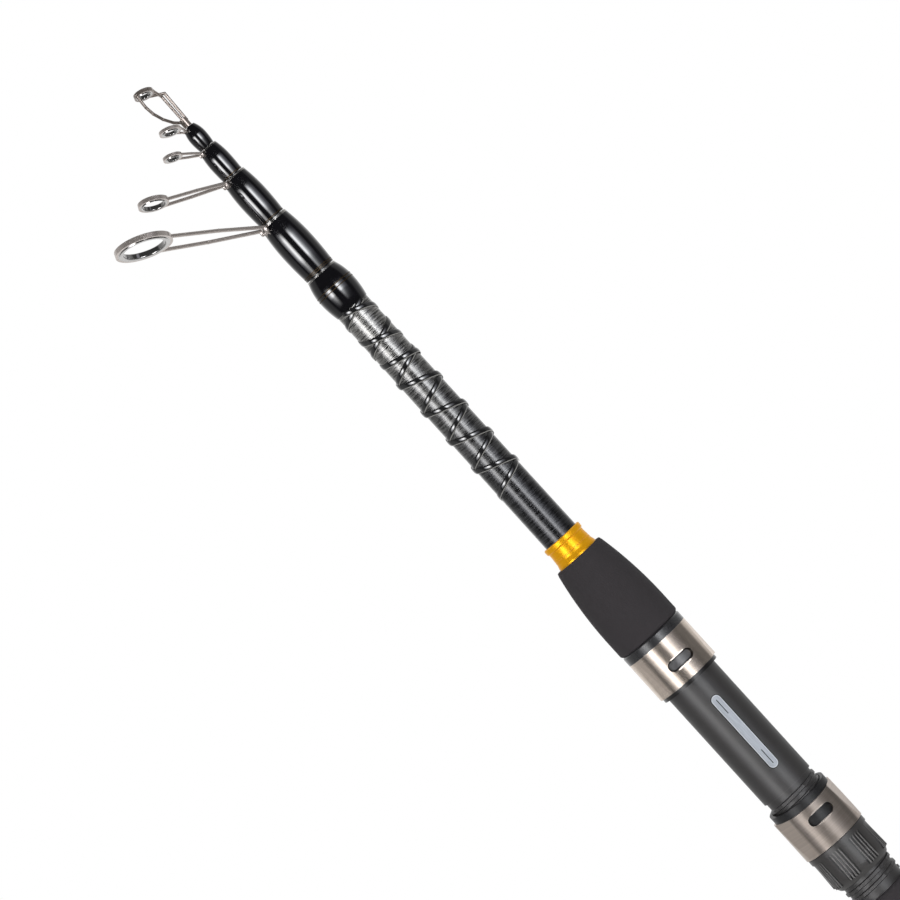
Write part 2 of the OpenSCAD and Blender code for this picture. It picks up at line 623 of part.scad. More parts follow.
// Polished line ring with a rounded bore
module insert(r0, r1, h, held)
    rotate_extrude() {
        lip = max(r1 - 0.5, r0 + 0.25);
        round_r = 0.45;
        intersection() {
            translate([r0, -h / 2]) square([lip - r0, h]);
            union() {
                for (s = [-1, 1]) translate([r0 + round_r, s * (h / 2 - round_r)]) circle(r = round_r, $fn = 32);
                translate([r0, round_r - h / 2]) square([r1, h - 2 * round_r]);
                translate([r0 + round_r, -h / 2]) square([r1, h]);
            }
        }
        translate([lip - 0.01, -held / 2]) square([r1 - lip + 0.01, held]);
    }

module five_blank() section_blank(0);
module five_wrap() section_wrap(0);
module five_mouth_ring() section_ring(0);
module five_trim() section_trim(0);
module five_guide_frame() guide_frame(0);
module five_guide_ring() guide_ring(0);
module four_blank() section_blank(1);
module four_wrap() section_wrap(1);
module four_mouth_ring() section_ring(1);
module four_trim() section_trim(1);
module four_guide_frame() guide_frame(1);
module four_guide_ring() guide_ring(1);
module three_blank() section_blank(2);
module three_wrap() section_wrap(2);
module three_mouth_ring() section_ring(2);
module three_trim() section_trim(2);
module three_guide_frame() guide_frame(2);
module three_guide_ring() guide_ring(2);
module two_blank() section_blank(3);
module two_wrap() section_wrap(3);
module two_guide_frame() guide_frame(3);
module two_guide_ring() guide_ring(3);

// Tip section: solid tip blank, tip-top with its short tube and three wires, line ring
tip_tube_length = 3.4;
tip_depth = 3;
function tip_r1(z) = b1 - taper * (z - section_butt);
tip_tube_r = m2 + 0.75;
tip_ring_c = [6, 0, z_tip + tip_top_length - 1.2];
tip_wire = 1.1;
tip_bend = [[4.4, 0.21], [7.3, 0.37], [9.1, 0.55], [9.7, 0.72]];
module tip_blank() color(c_gloss)
    translate([0, 0, section_butt])
        cylinder(r1 = tip_r1(section_butt), r2 = tip_r1(z_tip + tip_depth - 0.1),
            h = z_tip + tip_depth - 0.1 - section_butt);
module tip_top_frame() color(c_wire)
    rotate([0, 0, tip_turn]) {
        hr = (tip_ring_d - 0.6) / 2;
        difference() {
            union() {
                translate([0, 0, z_tip]) cylinder(r = tip_tube_r, h = tip_tube_length);
                for (s = [-1, 1])
                    wires([[-0.8, s * 0.85, z_tip + 2.3], [-1.2, s * 1.05, z_tip + tip_top_length * 0.73],
                        on_ring(tip_ring_c, hr, 180 + s * 35, tip_lean)], tip_wire);
                wires([[1.22, 0, z_tip + 2.3], for (p = tip_bend) [p[0], 0, z_tip + tip_top_length * p[1]],
                    on_ring(tip_ring_c, hr + 0.06, 0, tip_lean)], tip_wire);
                place_ring(tip_ring_c, tip_lean) rotate_extrude()
                    translate([tip_ring_d / 2 - 0.6, -0.7]) square([0.6, 1.4]);
            }
            place_ring(tip_ring_c, tip_lean) translate([0, 0, -0.71]) cylinder(r = tip_ring_d / 2 - 0.6, h = 1.42);
            translate([0, 0, z_tip - 1])
                cylinder(r = tip_r1(z_tip) + 0.02, h = tip_depth + 1);
        }
    }
module tip_top_ring() color(c_dark)
    rotate([0, 0, tip_turn]) place_ring(tip_ring_c, tip_lean)
        insert(tip_bore_d / 2, tip_ring_d / 2 - 0.62, 1.8, 1.4);

handle_blank();
handle_wrap();
handle_mouth_ring();
handle_trim();
cross_wrap_right();
cross_wrap_left();
winding_check();
foregrip();
front_ring();
fixed_hood();
fixed_hood_liner();
reel_seat_body();
seat_badge();
seat_arbors();
rear_grip();
butt_bush();
moving_hood();
moving_hood_liner();
lock_nut();
cap_gasket();
butt_cap();
butt_pad();
five_blank();
five_wrap();
five_mouth_ring();
five_trim();
five_guide_frame();
five_guide_ring();
four_blank();
four_wrap();
four_mouth_ring();
four_trim();
four_guide_frame();
four_guide_ring();
three_blank();
three_wrap();
three_mouth_ring();
three_trim();
three_guide_frame();
three_guide_ring();
two_blank();
two_wrap();
two_guide_frame();
two_guide_ring();
tip_blank();
tip_top_frame();
tip_top_ring();
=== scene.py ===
import json
from math import cos, pi, radians, sin, sqrt

import bpy
from mathutils import Matrix, Vector


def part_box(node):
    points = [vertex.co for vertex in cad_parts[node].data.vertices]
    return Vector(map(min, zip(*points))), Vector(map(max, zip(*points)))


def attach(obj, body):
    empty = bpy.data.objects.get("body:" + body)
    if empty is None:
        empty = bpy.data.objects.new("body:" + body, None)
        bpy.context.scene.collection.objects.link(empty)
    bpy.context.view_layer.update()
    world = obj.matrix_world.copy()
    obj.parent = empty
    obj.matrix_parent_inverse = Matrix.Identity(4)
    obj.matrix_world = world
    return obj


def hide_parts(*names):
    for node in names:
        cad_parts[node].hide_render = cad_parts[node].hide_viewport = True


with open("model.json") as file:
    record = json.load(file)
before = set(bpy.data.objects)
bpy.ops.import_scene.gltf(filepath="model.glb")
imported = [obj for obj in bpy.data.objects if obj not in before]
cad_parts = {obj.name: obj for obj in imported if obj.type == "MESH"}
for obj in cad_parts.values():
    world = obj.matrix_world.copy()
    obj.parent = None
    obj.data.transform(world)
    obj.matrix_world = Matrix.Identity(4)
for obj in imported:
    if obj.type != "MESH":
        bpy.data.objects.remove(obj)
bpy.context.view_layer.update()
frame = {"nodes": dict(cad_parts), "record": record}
nodes = frame["nodes"]
MM = 0.001
FULL_TURN = 2 * pi
SIDES = 96


# Camera: a long lens, square to the rod, rolled so that the tip points up to the left
VIEW_AZIMUTH = radians(-9.5)
VIEW_ROLL = radians(-42.24)
PIXEL = 0.35 * MM
PICTURE_PIXELS = 900
SENSOR = 36
DISTANCE = 4000 * PIXEL
AIM_HEIGHT = 330.2 * MM
AIM_ASIDE = 23.9 * PIXEL
CLIP_NEAR, CLIP_FAR = 0.05, 20
toward_camera = Vector((sin(VIEW_AZIMUTH), -cos(VIEW_AZIMUTH), 0))
level_right = Vector((cos(VIEW_AZIMUTH), sin(VIEW_AZIMUTH), 0))
rod_up = Vector((0, 0, 1))


def place_camera():
    right = cos(VIEW_ROLL) * level_right + sin(VIEW_ROLL) * rod_up
    up = -sin(VIEW_ROLL) * level_right + cos(VIEW_ROLL) * rod_up
    aim = AIM_HEIGHT * rod_up - AIM_ASIDE * level_right
    lens = bpy.data.cameras.new("photo_camera")
    lens.sensor_width = SENSOR
    lens.lens = SENSOR * DISTANCE / (PICTURE_PIXELS * PIXEL)
    lens.clip_start, lens.clip_end = CLIP_NEAR, CLIP_FAR
    camera = bpy.data.objects.new("photo_camera", lens)
    turn = Matrix((right, up, toward_camera)).transposed().to_4x4()
    camera.matrix_world = Matrix.Translation(aim + DISTANCE * toward_camera) @ turn
    bpy.context.scene.collection.objects.link(camera)
    bpy.context.scene.camera = camera


def round_rod(degrees):
    """An angle round the rod as a share of a turn."""
    return (degrees + 180) / 360


def grey(value):
    return (value, value, value)


def preset(node, inputs):
    """Sets a node's inputs by name, with _ for a space."""
    for socket, value in inputs.items():
        node.inputs[socket.replace("_", " ")].default_value = value
    return node


class Graph:
    """A node tree under construction."""

    def __init__(self, tree):
        self.tree = tree

    def add(self, kind, **inputs):
        """A new node, with values for its inputs."""
        return preset(self.tree.nodes.new(kind), inputs)

    def link(self, out, into):
        self.tree.links.new(out, into)

    def sum(self, operation, *values, clamp=False):
        """A sum on numbers and other nodes' outputs."""
        node = self.add("ShaderNodeMath")
        node.operation, node.use_clamp = operation, clamp
        for socket, value in zip(node.inputs, values):
            if isinstance(value, (int, float)):
                socket.default_value = value
            else:
                self.link(value, socket)
        return node.outputs["Value"]

    def vector(self, operation, first, second=None):
        """A single number from one or two vectors."""
        node = self.add("ShaderNodeVectorMath")
        node.operation = operation
        self.link(first, node.inputs[0])
        if isinstance(second, Vector):
            node.inputs[1].default_value = second
        elif second is not None:
            self.link(second, node.inputs[1])
        return node.outputs["Value"]

    def span(self, value, given=(0, 1), made=(0, 1), kind="LINEAR"):
        """A value carried from one range to another."""
        node = self.add(
            "ShaderNodeMapRange", From_Min=given[0], From_Max=given[1], To_Min=made[0], To_Max=made[1])
        node.interpolation_type = kind
        self.link(value, node.inputs["Value"])
        return node.outputs["Result"]

    def ramp(self, mask, stops):
        """A colour from a mask, by stops of (place, colour)."""
        node = self.add("ShaderNodeValToRGB")
        marks = node.color_ramp.elements
        while len(marks) < len(stops):
            marks.new(1.0)
        for mark, (at, colour) in zip(marks, stops):
            mark.position = at
            mark.color = (*colour, 1)
        self.link(mask, node.inputs["Fac"])
        return node.outputs["Color"]

    def blend(self, share, first, second):
        """One shader node that runs from a first to a second one."""
        node = self.add("ShaderNodeMixShader")
        self.link(share, node.inputs["Fac"])
        self.link(first.outputs[0], node.inputs[1])
        self.link(second.outputs[0], node.inputs[2])
        return node


# Two tall soft boxes beside the camera, parallel to the rod. Their reflections are in the world.
BOX_TURN = radians(31)
BOX_WIDTH, BOX_LENGTH = 0.3, 0.9
BOX_HEIGHT, BOX_REACH = 0.3, 0.9
BOX_WATTS = 1.6
COOL, WARM = (0.96, 0.98, 1.0), (1.0, 0.99, 0.97)


def strip_light(name, turn, colour):
    lamp = bpy.data.lights.new(name, "AREA")
    lamp.shape, lamp.size, lamp.size_y = "RECTANGLE", BOX_WIDTH, BOX_LENGTH
    lamp.energy, lamp.color = BOX_WATTS, colour
    box = bpy.data.objects.new(name, lamp)
    out = Matrix.Rotation(turn, 3, "Z") @ toward_camera
    side = rod_up.cross(out)
    place = Matrix.Translation(out * BOX_REACH + rod_up * BOX_HEIGHT)
    box.matrix_world = place @ Matrix((side, rod_up, out)).transposed().to_4x4()
    box.visible_glossy = False
    bpy.context.scene.collection.objects.link(box)


# What shiny surfaces see, by the angle round the rod from the camera: walls, then the two soft boxes
WALLS = (
    (-180, 1.0), (-150, 0.8), (-125, 0.4), (-104, 0.28), (-84, 0.26), (-72, 0.05), (0, 0.055),
    (72, 0.05), (82, 0.07), (90, 0.22), (115, 0.32), (150, 0.8), (180, 1.0))
LEFT_BOX = (
    (-66, (0, 0, 0)), (-57, (0.18, 0.18, 0.19)), (-49, (0.45, 0.45, 0.46)), (-42, (0.92, 0.92, 0.94)),
    (-36, (1, 1, 1)), (-29, (0.5, 0.5, 0.5)), (-22, (0, 0, 0)))
RIGHT_BOX = (
    (6, (0, 0, 0)), (10, (0.3, 0.3, 0.31)), (15, (0.9, 0.91, 0.94)), (21, (0.95, 0.97, 1)),
    (28, (0.5, 0.51, 0.53)), (36, (0.2, 0.21, 0.22)), (46, (0.08, 0.08, 0.09)), (66, (0, 0, 0)))
# The boxes' brightness by the upward part of the direction
BOX_RISE = ((-0.26, 0), (-0.16, 0.12), (-0.05, 0.34), (0.0, 1), (0.17, 1), (0.255, 0))
BOX_STRENGTH = 11.0
FILL_TONE = 0.6


def studio():
    scene = bpy.context.scene
    scene.view_settings.view_transform = "Standard"
    strip_light("right_box", BOX_TURN, COOL)
    strip_light("left_box", -BOX_TURN, WARM)

    world = bpy.data.worlds.new("studio")
    world.use_nodes = True
    scene.world = world
    world.node_tree.nodes.clear()
    g = Graph(world.node_tree)
    out = g.add("ShaderNodeOutputWorld")
    seen = g.add("ShaderNodeBackground", Color=(1, 1, 1, 1))
    fill = g.add("ShaderNodeBackground", Color=(*grey(FILL_TONE), 1))
    where = g.add("ShaderNodeTexCoord").outputs["Generated"]
    ways = (level_right, toward_camera, rod_up)
    aside, toward, rise = (g.vector("DOT_PRODUCT", where, way) for way in ways)
    turn = g.span(g.sum("ARCTAN2", aside, toward), (-pi, pi))
    walls = g.ramp(turn, [(round_rod(at), grey(tone)) for at, tone in WALLS])
    boxes = g.ramp(turn, [(round_rod(at), colour) for at, colour in LEFT_BOX + RIGHT_BOX])
    window = g.ramp(g.span(rise, (-1, 1)), [((at + 1) / 2, grey(tone)) for at, tone in BOX_RISE])
    wall_light = g.add("ShaderNodeBackground")
    box_light = g.add("ShaderNodeBackground")
    mirror = g.add("ShaderNodeAddShader")
    g.link(walls, wall_light.inputs["Color"])
    g.link(boxes, box_light.inputs["Color"])
    g.link(g.sum("MULTIPLY", window, BOX_STRENGTH), box_light.inputs["Strength"])
    g.link(wall_light.outputs["Background"], mirror.inputs[0])
    g.link(box_light.outputs["Background"], mirror.inputs[1])

    path = g.add("ShaderNodeLightPath")
    shiny = g.sum("MAXIMUM", path.outputs["Is Glossy Ray"], path.outputs["Is Transmission Ray"])
    behind = g.blend(path.outputs["Is Camera Ray"], g.blend(shiny, fill, mirror), seen)
    g.link(behind.outputs["Shader"], out.inputs["Surface"])


FLOOR_RADIUS, FLOOR_DROP = 0.5, 0.0005
FLOOR_FADE = (0.12, 0.45)
FLOOR_TONE = 0.86


def pale_floor():
    """A round pale floor under the butt that fades into the white behind it."""
    nothing_selected()
    bpy.ops.mesh.primitive_circle_add(
        vertices=SIDES, radius=FLOOR_RADIUS, fill_type="NGON", location=(0, 0, -FLOOR_DROP))
    floor = bpy.context.object
    floor.name = "floor"
    bpy.ops.object.transform_apply(location=True)
    paper = bpy.data.materials.new("floor_paper")
    paper.use_nodes = True
    paper.node_tree.nodes.clear()
    g = Graph(paper.node_tree)
    out = g.add("ShaderNodeOutputMaterial")
    matte = g.add("ShaderNodeBsdfDiffuse", Color=(*grey(FLOOR_TONE), 1))
    glow = g.add("ShaderNodeEmission")
    clear = g.add("ShaderNodeBsdfTransparent")
    path = g.add("ShaderNodeLightPath")
    where = g.add("ShaderNodeTexCoord")
    fade = g.span(g.vector("LENGTH", where.outputs["Object"]), FLOOR_FADE, kind="SMOOTHSTEP")
    rim = g.blend(path.outputs["Is Camera Ray"], clear, glow)
    g.link(g.blend(fade, matte, rim).outputs["Shader"], out.inputs["Surface"])
    floor.data.materials.append(paper)


# Shared effects, each one a node group
def effect(name, inputs, outputs):
    """An empty node group with float inputs (name, value) and float outputs."""
    tree = bpy.data.node_groups.new(name, "ShaderNodeTree")
    for label, value in inputs:
        socket = tree.interface.new_socket(label, in_out="INPUT", socket_type="NodeSocketFloat")
        socket.default_value = value
    for label in outputs:
        tree.interface.new_socket(label, in_out="OUTPUT", socket_type="NodeSocketFloat")
    return Graph(tree), tree.nodes.new("NodeGroupInput"), tree.nodes.new("NodeGroupOutput")


NOISE_MIDDLE = 0.5


def spread_noise(g, noise, contrast):
    """A noise node's value, drawn apart about its middle."""
    off_middle = g.sum("SUBTRACT", noise.outputs["Fac"], NOISE_MIDDLE)
    return g.sum("MULTIPLY_ADD", off_middle, contrast, NOISE_MIDDLE, clamp=True)


def ring_grain():
    """Fine rings round the rod, as sanding, turning or winding leaves them."""
    g, given, made = effect("ring_grain", (("Rings", 1500), ("Breaks", 120), ("Contrast", 1)), ("Mask",))
    where = g.add("ShaderNodeTexCoord")
    parts = g.add("ShaderNodeSeparateXYZ")
    joined = g.add("ShaderNodeCombineXYZ")
    noise = g.add("ShaderNodeTexNoise", Scale=1, Detail=3)
    g.link(where.outputs["Object"], parts.inputs[0])
    for axis, amount in (("X", "Breaks"), ("Y", "Breaks"), ("Z", "Rings")):
        g.link(g.sum("MULTIPLY", parts.outputs[axis], given.outputs[amount]), joined.inputs[axis])
    g.link(joined.outputs[0], noise.inputs["Vector"])
    g.link(spread_noise(g, noise, given.outputs["Contrast"]), made.inputs["Mask"])
    return g.tree


def mottle():
    """Even cloudy spots, for moulding, lacquer and handling marks."""
    g, given, made = effect("mottle", (("Size", 800), ("Contrast", 1)), ("Mask",))
    where = g.add("ShaderNodeTexCoord")
    noise = g.add("ShaderNodeTexNoise", Detail=4)
    g.link(where.outputs["Object"], noise.inputs["Vector"])
    g.link(given.outputs["Size"], noise.inputs["Scale"])
    g.link(spread_noise(g, noise, given.outputs["Contrast"]), made.inputs["Mask"])
    return g.tree


FOAM_CELLS, FOAM_PORES = 1800, 5200
CELL_SHARE = 0.6


def foam_cells():
    """Closed cells of a moulded foam grip, as a height and a mask."""
    g, given, made = effect("foam_cells", (("Size", FOAM_CELLS),), ("Height", "Mask"))
    where = g.add("ShaderNodeTexCoord")
    cells = g.add("ShaderNodeTexVoronoi")
    cells.feature = "SMOOTH_F1"
    pores = g.add("ShaderNodeTexNoise", Scale=FOAM_PORES, Detail=2)
    g.link(where.outputs["Object"], cells.inputs["Vector"])
    g.link(where.outputs["Object"], pores.inputs["Vector"])
    g.link(given.outputs["Size"], cells.inputs["Scale"])
    height = g.sum("MULTIPLY_ADD", cells.outputs["Distance"], CELL_SHARE, pores.outputs["Fac"])
    g.link(height, made.inputs["Height"])
    g.link(pores.outputs["Fac"], made.inputs["Mask"])
    return g.tree


def edge_rub():
    """Where edges have been rubbed bright, found from a rounded normal."""
    g, given, made = effect("edge_rub", (("Width", 0.0004), ("Strength", 3)), ("Mask",))
    soft = g.add("ShaderNodeBevel")
    soft.samples = 4
    plain = g.add("ShaderNodeNewGeometry")
    g.link(given.outputs["Width"], soft.inputs["Radius"])
    match = g.vector("DOT_PRODUCT", soft.outputs["Normal"], plain.outputs["Normal"])
    rub = g.sum("MULTIPLY", g.sum("SUBTRACT", 1, match), given.outputs["Strength"], clamp=True)
    g.link(rub, made.inputs["Mask"])
    return g.tree


class Finish(Graph):
    """One material under construction: a Principled shader and helpers to feed it."""

    def __init__(self, name, **plain):
        self.material = bpy.data.materials.new(name)
        self.material.use_nodes = True
        super().__init__(self.material.node_tree)
        self.shader = preset(self.tree.nodes["Principled BSDF"], plain)

    def use(self, group, **inputs):
        """A shared effect, with values for its inputs."""
        node = self.add("ShaderNodeGroup")
        node.node_tree = group
        return preset(node, inputs)

    def mask(self, group, **inputs):
        return self.use(group, **inputs).outputs["Mask"]

    def colour(self, mask, stops, base=None):
        """Colour from a mask, multiplied with an earlier colour where one is given."""
        out = self.ramp(mask, stops)
        if base is not None:
            times = self.add("ShaderNodeMix")
            times.data_type, times.blend_type = "RGBA", "MULTIPLY"
            times.inputs["Factor"].default_value = 1
            self.link(base, times.inputs["A"])
            self.link(out, times.inputs["B"])
            out = times.outputs["Result"]
        self.link(out, self.shader.inputs["Base Color"])
        return out

    def over(self, base, mask, colour):
        """A plain colour over another one, where the mask is."""
        lay = self.add("ShaderNodeMix")
        lay.data_type = "RGBA"
        lay.inputs["B"].default_value = (*colour, 1)
        self.link(mask, lay.inputs["Factor"])
        self.link(base, lay.inputs["A"])
        self.link(lay.outputs["Result"], self.shader.inputs["Base Color"])
        return lay.outputs["Result"]

    def place(self, axis):
        """A surface point's own coordinate on the part."""
        where = self.add("ShaderNodeTexCoord")
        parts = self.add("ShaderNodeSeparateXYZ")
        self.link(where.outputs["Object"], parts.inputs[0])
        return parts.outputs[axis]

    def bearing(self):
        """The angle round the rod from the badge's side, as a share of a turn."""
        turn = self.sum("ARCTAN2", self.place("X"), self.sum("MULTIPLY", self.place("Y"), -1.0))
        return self.sum("ADD", self.sum("MULTIPLY", turn, 1 / FULL_TURN), 0.5)

    def between(self, value, low, high):
        """1 where a value lies between two others."""
        return self.sum("MULTIPLY", self.sum("GREATER_THAN", value, low), self.sum("LESS_THAN", value, high))

    def off_slot(self, along, half_span, across):
        """Distance from a slot's middle line, from the places along and across it."""
        past_end = self.sum("MAXIMUM", self.sum("SUBTRACT", self.sum("ABSOLUTE", along), half_span), 0.0)
        squares = (self.sum("MULTIPLY", way, way) for way in (past_end, across))
        return self.sum("SQRT", self.sum("ADD", *squares))

    def rough(self, mask, low, high):
        self.link(self.span(mask, made=(low, high)), self.shader.inputs["Roughness"])

    def bump(self, height, depth, strength):
        lift = self.add("ShaderNodeBump", Distance=depth, Strength=strength)
        self.link(height, lift.inputs["Height"])
        self.link(lift.outputs["Normal"], self.shader.inputs["Normal"])


RINGS, MOTTLE, CELLS, RUB = ring_grain(), mottle(), foam_cells(), edge_rub()
LATHE_BUMP = 0.000006
GRAIN_BUMP = 0.00001
STREAK_BUMP = 0.00002
CELL_BUMP = 0.00006


def lacquer():
    """Thread windings under clear lacquer."""
    f = Finish("black_lacquer", Coat_Weight=1.0, Coat_Roughness=0.035, Coat_IOR=1.75, Specular_IOR_Level=0.15)
    thread = f.mask(RINGS, Rings=5200, Breaks=60, Contrast=1.6)
    cloud = f.mask(MOTTLE, Size=420, Contrast=1.5)
    f.colour(thread, ((0.2, (0.0007, 0.0006, 0.0014)), (0.8, (0.0024, 0.002, 0.0042))))
    f.rough(cloud, 0.12, 0.22)
    f.bump(cloud, GRAIN_BUMP, 0.4)
    return f.material


BLANK_SHADE_LOW, BLANK_SHADE_HIGH = 0.28, 0.39
BLANK_SHADE = (
    (0.0, (0.05, 0.05, 0.054)), (0.18, (0.056, 0.056, 0.06)), (0.336, (0.09, 0.09, 0.092)),
    (0.59, (0.175, 0.174, 0.171)), (0.78, (0.27, 0.266, 0.257)), (0.97, (0.37, 0.363, 0.348)))


def sanded_blank():
    """Composite tube with sanding streaks and a sheen, pale near the mouth and nearly black at the collar."""
    f = Finish("sanded_blank", Metallic=0.8, Coat_Weight=0.6, Coat_Roughness=0.15, Coat_IOR=1.5)
    base = f.colour(f.span(f.place("Z"), (BLANK_SHADE_LOW, BLANK_SHADE_HIGH)), BLANK_SHADE)
    streaks = f.mask(RINGS, Rings=2400, Breaks=170, Contrast=4.4)
    fine = f.mask(RINGS, Rings=6400, Breaks=110, Contrast=3.0)
    base = f.colour(streaks, ((0.05, (0.3, 0.3, 0.31)), (0.55, grey(0.95)), (0.95, grey(1.3))), base)
    f.colour(fine, ((0.1, grey(0.7)), (0.9, grey(1.15))), base)
    f.rough(streaks, 0.26, 0.42)
    f.bump(streaks, STREAK_BUMP, 0.4)
    return f.material


# A pale line along each tape's butt-side edge
PALE_EDGE_LINE = (0.3, 0.295, 0.28)


def edged_tape():
    """Gloss black tape with a pale line along its butt-side edge."""
    f = Finish("edged_tape", Coat_Weight=1.0, Coat_Roughness=0.04, Coat_IOR=1.8, Specular_IOR_Level=0.25)
    f.rough(f.mask(MOTTLE, Size=900, Contrast=1.4), 0.14, 0.26)
    spread = f.add("ShaderNodeUVMap")
    across = f.add("ShaderNodeSeparateXYZ")
    f.link(spread.outputs["UV"], across.inputs[0])
    f.colour(across.outputs["Y"], (
        (0.0, PALE_EDGE_LINE), (0.13, PALE_EDGE_LINE), (0.17, (0.008, 0.008, 0.009)), (1.0, (0.012, 0.012, 0.013))))
    return f.material


# Painted shade along the line where a hood's cheeks begin
CHEEK_SHADE_LINE = 0.7


def painted_cheek_light(tone):
    """Painted sheen and shade on a hood by the angle round the rod: brighter cheeks at both sides, darker
    where they begin.
    """
    right = ((31, 1.0), (38, CHEEK_SHADE_LINE), (44, CHEEK_SHADE_LINE), (50, tone), (110, tone), (130, 1.0))
    left = ((-at, shade) for at, shade in reversed(right))
    return (*left, *right)


def turned_metal(
        name, low, high, rough, rings=2600, rub=None, metallic=1.0, depth=0.35, cheeks=None, **plain):
    """Metal with fine turning rings, rubbed brighter at its edges where a colour is given."""
    f = Finish(name, Metallic=metallic, **plain)
    lathe = f.mask(RINGS, Rings=rings, Breaks=25, Contrast=1.6)
    base = f.colour(lathe, ((0.15, low), (0.85, high)))
    # Painted sheen on a hood's cheeks and painted shade where they begin, by the angle round the rod
    if cheeks:
        stops = [(round_rod(at), grey(shade)) for at, shade in painted_cheek_light(cheeks)]
        base = f.colour(f.bearing(), stops, base)
    if rub:
        f.over(base, f.mask(RUB, Width=0.0003, Strength=2.5), rub)
    f.rough(lathe, *rough)
    f.bump(lathe, LATHE_BUMP, depth)
    return f.material


def plastic(name, low, high, rough, size=1600, **plain):
    """Moulded plastic with a faint grain: the finish so far and its colour."""
    f = Finish(name, **plain)
    grain = f.mask(MOTTLE, Size=size, Contrast=1.6)
    f.rough(grain, *rough)
    f.bump(grain, GRAIN_BUMP, 0.3)
    return f, f.colour(grain, ((0.2, low), (0.8, high)))


def moulded(name, low, high, rough, rub=None, **plain):
    """Moulded plastic, rubbed brighter at its edges where a colour is given."""
    f, base = plastic(name, low, high, rough, **plain)
    if rub:
        f.over(base, f.mask(RUB, Width=0.00035, Strength=1.6), rub)
    return f.material


# The lock nut's ribs stand in groups round it. The wave across a group is 1 between two ribs and -1 on a rib.
RIB_GROUPS, RIB_STEP, RIB_FIRST = 8, 6.2, 0.4
RIB_GROUP_HALF = 2.25 * RIB_STEP
RIB_LOW, RIB_HIGH = 1.8 * MM, 13.2 * MM
# Painted shade in the grooves where the wave is above the first value, painted highlight on the ribs where it
# is below the second
RIB_SHADE_ABOVE, RIB_HIGHLIGHT_BELOW = 0.25, -0.6


def ribbed_nut():
    """Moulded nut with painted highlights on its ribs in groups and painted shade between them."""
    f, base = plastic("nut_plastic", (0.032, 0.03, 0.029), (0.047, 0.044, 0.043), (0.32, 0.42), 2400,
                      Specular_IOR_Level=0.8)
    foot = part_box("lock_nut")[0].z
    turn = f.sum("ARCTAN2", f.place("Y"), f.place("X"))
    groups = f.sum("SUBTRACT", f.sum("MULTIPLY", turn, RIB_GROUPS / FULL_TURN), RIB_FIRST)
    aside = f.sum("SUBTRACT", groups, f.sum("ROUND", groups))
    near = f.sum("LESS_THAN", f.sum("ABSOLUTE", aside), RIB_GROUP_HALF * RIB_GROUPS / 360)
    inside = f.sum("MULTIPLY", near, f.between(f.place("Z"), foot + RIB_LOW, foot + RIB_HIGH))
    wave = f.sum("COSINE", f.sum("MULTIPLY", aside, FULL_TURN * 360 / (RIB_GROUPS * RIB_STEP)))
    groove_shade = f.sum("MULTIPLY", inside, f.sum("GREATER_THAN", wave, RIB_SHADE_ABOVE))
    ridge_highlight = f.sum("MULTIPLY", inside, f.sum("LESS_THAN", wave, RIB_HIGHLIGHT_BELOW))
    # Painted shade between the ribs, then painted highlights on them
    base = f.over(base, groove_shade, (0.008, 0.0075, 0.0075))
    f.over(base, ridge_highlight, (0.13, 0.123, 0.12))
    return f.material


# The fixed hood's window, over the hood's mouth
WINDOW_RISE, WINDOW_HALF_SPAN, WINDOW_GREY_REACH = 7 * MM, 3.35 * MM, 1.45 * MM


def hood_liner():
    """Black plastic with a lip at the fixed hood's mouth, grey in the middle of the window."""
    f, base = plastic("liner_plastic", (0.1, 0.1, 0.104), (0.14, 0.14, 0.145), (0.3, 0.4),
                      Coat_Weight=0.5, Coat_Roughness=0.2)
    above = f.sum("SUBTRACT", f.place("Z"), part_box("fixed_hood")[0].z + WINDOW_RISE)
    off_window = f.off_slot(f.place("X"), WINDOW_HALF_SPAN, above)
    # Near-black beyond a small reach from the window's middle line, grey within it
    f.over(base, f.sum("GREATER_THAN", off_window, WINDOW_GREY_REACH), (0.006, 0.005, 0.005))
    return f.material


def foam_grip():
    f = Finish("foam_grip")
    cells = f.use(CELLS, Size=FOAM_CELLS)
    f.colour(cells.outputs["Mask"], ((0.25, (0.024, 0.0205, 0.0228)), (0.75, (0.046, 0.0405, 0.0445))))
    f.rough(cells.outputs["Mask"], 0.72, 0.92)
    f.bump(cells.outputs["Height"], CELL_BUMP, 0.5)
    return f.material


def polished_ring():
    """Hard bright ring that the line runs over."""
    f = Finish("polished_ring", Metallic=1.0)
    cloud = f.mask(MOTTLE, Size=1400, Contrast=1.4)
    f.colour(cloud, ((0.2, (0.5, 0.49, 0.48)), (0.8, (0.62, 0.61, 0.6))))
    f.rough(cloud, 0.06, 0.1)
    return f.material


def guide_metal(name, low, high):
    """Polished wire with a thin brown tarnish."""
    f = Finish(name, Metallic=0.7)
    grain = f.mask(MOTTLE, Size=900, Contrast=1.2)
    f.colour(grain, ((0.2, low), (0.8, high)))
    f.rough(grain, 0.2, 0.26)
    return f.material


# Painted on the badge: a highlight on the bevel, a shadow line round the rim, and shade in grooves at both
# ends
BADGE_CENTRE, BADGE_HALF_SPAN = 189 * MM, 14.6 * MM
BADGE_BEVEL_HIGHLIGHT, BADGE_RIM_SHADOW = 1.52 * MM, 1.82 * MM
BADGE_GROOVE_SHADE, BADGE_GROOVE_SHADE_HALF_WIDTH = (8.5 * MM, 14.8 * MM), 0.16 * MM


